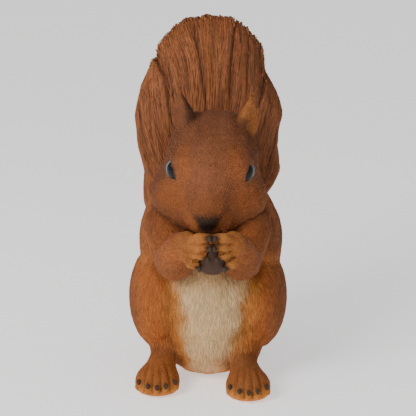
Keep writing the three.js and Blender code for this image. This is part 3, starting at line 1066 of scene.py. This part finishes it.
class SQUIRREL_OT_eyes(bpy.types.Operator):
    """Set the glossy eyes in their rims"""

    bl_idname = "squirrel.eyes"
    bl_label = "Eyes"

    def execute(self, context):
        tint = context.scene.squirrel_paint
        gloss = plain_paint("eye_gloss", tint.eye, 0.4)
        rim_kit = Paint("lid_paint", 0.75)
        rim_kit.into("Base Color", rim_kit.attribute("paint", "Color"))
        for side in SIDES:
            half = Vector((EYE_RADIUS, EYE_RADIUS, EYE_RADIUS))
            glass = ball(f"glass_eye_{side}", (48, 32), half, EYES[side])
            finish_piece(glass, gloss, [f"eye_{side}"])
            rim = self.rim(side)
            self.paint_rim(rim, side, tint)
            finish_piece(rim, rim_kit.material)
        return {"FINISHED"}

    def rim(self, side):
        """A thin rim along the almond edge of the lids."""
        outward, sideways, upward = eye_axes(side)
        bm = bmesh.new()
        steps, segments, radius = 56, 8, 0.42 * MM
        loops = []
        for i in range(steps):
            angle = 2 * math.pi * i / steps
            across, up = math.cos(angle), math.sin(angle)
            s = math.copysign(float(opening(up, across * SIDES[side])), across) * OPENING_HALF_WIDTH * 1.06
            u = up * OPENING_HALF_HEIGHT
            out = math.sqrt(max((EYE_RADIUS + 0.15 * MM) ** 2 - s * s - u * u, 0))
            centre = EYES[side] + sideways * s + upward * u + outward * out
            away = (centre - EYES[side]).normalized()
            edge = (sideways * across + upward * up).normalized()
            turns = [2 * math.pi * k / segments for k in range(segments)]
            ring = [bm.verts.new(centre + radius * (away * math.sin(t) + edge * math.cos(t))) for t in turns]
            loops.append([bm.edges.new((ring[k - 1], ring[k])) for k in range(segments)])
        for i in range(steps):
            bmesh.ops.bridge_loops(bm, edges=loops[i - 1] + loops[i])
        return object_from(bm, f"lid_{side}")

    def paint_rim(self, rim, side, tint):
        """A painted highlight of grey on the outer side of the eye, and nearly black below and within."""
        _, sideways, upward = (np.array(axis) for axis in eye_axes(side))
        gap = (column(rim.data.vertices, "co", 3) - np.array(EYES[side])) / EYE_RADIUS
        # painted highlight: grey where the rim faces outwards, above its lower part
        outer = ramp(gap @ sideways * SIDES[side], -0.02, 0.15) * ramp(gap @ upward, -0.7, -0.4)
        dark = np.tile(np.array(tint.soot) * 0.5, (len(gap), 1))
        put(rim.data, "paint", blended_tint(dark, tint.rim_highlight, outer))


def narrowed_below(share):
    """A bend that narrows the unit ball's lower end by a share."""

    def bend(co):
        co.x *= 1 - share * max(-co.z, 0)

    return bend


class SQUIRREL_OT_nose(bpy.types.Operator):
    """Set the small dark nose"""

    bl_idname = "squirrel.nose"
    bl_label = "Nose"

    def execute(self, context):
        low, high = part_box("nose")
        centre = NOSE + Vector((0, 0.9, -0.8)) * MM
        pad = ball("nose_pad", (32, 20), (high - low) / 2 * 0.85, centre, narrowed_below(0.55))
        soot = plain_paint("soot_paint", context.scene.squirrel_paint.soot, 0.7, grain=0.5)
        finish_piece(pad, soot, ["nose"])
        return {"FINISHED"}


class SQUIRREL_OT_claws(bpy.types.Operator):
    """Finish every claw as a smooth dark spike"""

    bl_idname = "squirrel.claws"
    bl_label = "Claws"

    def execute(self, context):
        horn = plain_paint("claw_paint", context.scene.squirrel_paint.horn, 0.75, grain=0.4)
        fore, hind = Vector((1.3, 1.5, 1.7)) * MM, Vector((1.35, 1.1, 1.9)) * MM
        for name in [name for name in NODES if "claw" in name]:
            is_hind = "hind" in name
            centre = middle(name) + Vector((0, 0.5, 0.9)) * MM * is_hind
            spike = ball("horn_" + name, (16, 12), hind if is_hind else fore, centre, narrowed_below(0.3))
            finish_piece(spike, horn, [name])
        return {"FINISHED"}


class SQUIRREL_OT_nut(bpy.types.Operator):
    """Turn the nut, with the fine ribs of its shell"""

    bl_idname = "squirrel.nut"
    bl_label = "Nut"

    def execute(self, context):
        low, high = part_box("nut")
        on_its_side = Matrix.Rotation(math.radians(90), 3, "Y")

        def ribbed(co):
            co *= 1 + 0.012 * math.sin(24 * math.atan2(co.y, co.x)) * (1 - abs(co.z))
            co.rotate(on_its_side)

        nut = ball("nut_shell", (72, 36), (high - low) / 2, NUT, ribbed)
        shell = plain_paint("nut_paint", context.scene.squirrel_paint.nut, 0.5, grain=0.7)
        finish_piece(nut, shell, ["nut"])
        return {"FINISHED"}


# ---------------- studio


def area_light(name, place, target, power, width):
    lamp = bpy.data.lights.new(name, "AREA")
    lamp.energy = power
    lamp.size = width
    made = new_object(name, lamp)
    made.location = place
    made.rotation_euler = (target - Vector(place)).to_track_quat("-Z", "Y").to_euler()


class SQUIRREL_OT_stage(bpy.types.Operator):
    """Lay the floor and set the lights and the camera"""

    bl_idname = "squirrel.stage"
    bl_label = "Stage"

    def execute(self, context):
        studio = context.scene.squirrel_studio
        aim = Vector((0, 0, studio.aim_height))
        bm = bmesh.new()
        bmesh.ops.create_grid(bm, x_segments=1, y_segments=1, size=6)
        floor = object_from(bm, "floor", smooth=False)
        ground = plain_paint("floor_paint", context.scene.squirrel_paint.ground, 0.9)
        shader = ground.node_tree.nodes["Principled BSDF"]
        shader.inputs["Emission Color"].default_value = (1, 1, 1, 1)
        shader.inputs["Emission Strength"].default_value = studio.floor_glow
        floor.data.materials.append(ground)
        world = bpy.data.worlds.new("studio")
        context.scene.world = world
        world.use_nodes = True
        background = world.node_tree.nodes["Background"]
        background.inputs["Color"].default_value = (1, 1, 1, 1)
        background.inputs["Strength"].default_value = studio.sky
        area_light("key", (-0.75, -0.85, 0.85), aim, studio.key_power, 0.6)
        area_light("fill", (0.9, -0.9, 0.4), aim, studio.fill_power, 0.8)
        lens = bpy.data.cameras.new("camera")
        lens.lens = studio.lens
        lens.sensor_width = 36
        camera = new_object("camera", lens)
        rise = studio.camera_elevation
        back = Vector((0, -math.cos(rise), math.sin(rise)))
        camera.location = aim + back * studio.camera_distance
        camera.rotation_euler = (-back).to_track_quat("-Z", "Y").to_euler()
        context.scene.camera = camera
        return {"FINISHED"}


class SQUIRREL_PT_panel(bpy.types.Panel):
    """Lists the steps that build the figure"""

    bl_label = "Squirrel"
    bl_idname = "SQUIRREL_PT_panel"
    bl_space_type = "VIEW_3D"
    bl_region_type = "UI"
    bl_category = "Squirrel"

    def draw(self, context):
        for group in ("squirrel_carving", "squirrel_paint", "squirrel_studio"):
            settings = getattr(context.scene, group)
            for name in settings.__annotations__:
                self.layout.prop(settings, name)
        for operator in OPERATORS:
            self.layout.operator(operator.bl_idname)


GROUPS = {
    "squirrel_carving": CarvingSettings,
    "squirrel_paint": PaintSettings,
    "squirrel_studio": StudioSettings,
}
OPERATORS = [
    SQUIRREL_OT_skin,
    SQUIRREL_OT_coat,
    SQUIRREL_OT_eyes,
    SQUIRREL_OT_nose,
    SQUIRREL_OT_claws,
    SQUIRREL_OT_nut,
    SQUIRREL_OT_stage,
]


def register():
    for kind in [*GROUPS.values(), *OPERATORS, SQUIRREL_PT_panel]:
        bpy.utils.register_class(kind)
    for name, group in GROUPS.items():
        setattr(bpy.types.Scene, name, PointerProperty(type=group))


def unregister():
    for name in GROUPS:
        delattr(bpy.types.Scene, name)
    for kind in reversed([*GROUPS.values(), *OPERATORS, SQUIRREL_PT_panel]):
        bpy.utils.unregister_class(kind)


def main():
    register()
    for operator in OPERATORS:
        group, name = operator.bl_idname.split(".")
        getattr(getattr(bpy.ops, group), name)()
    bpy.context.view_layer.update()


if __name__ == "__main__":
    main()
